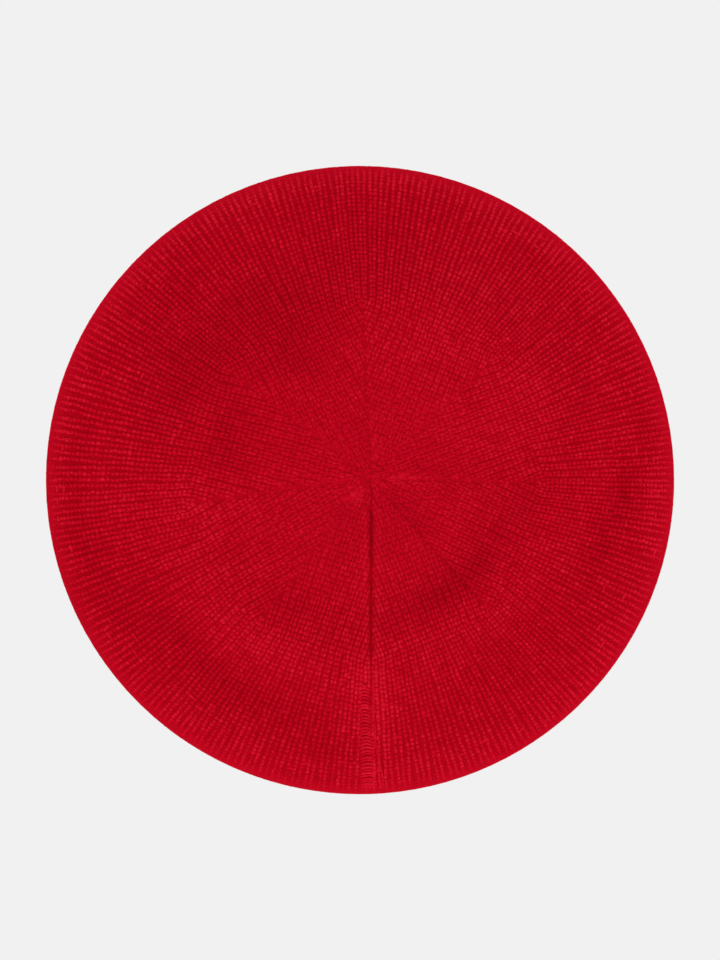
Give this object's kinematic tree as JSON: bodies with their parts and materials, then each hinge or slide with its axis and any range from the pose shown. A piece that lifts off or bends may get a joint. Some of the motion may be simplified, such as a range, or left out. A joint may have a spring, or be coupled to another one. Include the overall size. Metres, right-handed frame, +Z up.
{
  "type": "knitted beret",
  "caption": "Round flat knitted cashmere beret with a hollow crown in wedges, rolled rim, back seam and ribbed headband round the head opening.",
  "frame": {"origin": "middle of the face that the beret rests on, under the middle of its round outline", "axes": "+Z up out of the crown, -Y towards the back seam"},
  "size_m": [0.2798, 0.28, 0.0404],
  "materials": {
    "plain_knit": "soft brushed cashmere, plain knitting",
    "rib_knit": "soft cashmere, two by two ribs",
    "seam_welt": "linked edges of the knitting"
  },
  "bodies": {
    "root": {"crown": "plain_knit", "headband": "rib_knit", "back_seam": "seam_welt"}
  },
  "joints": []
}
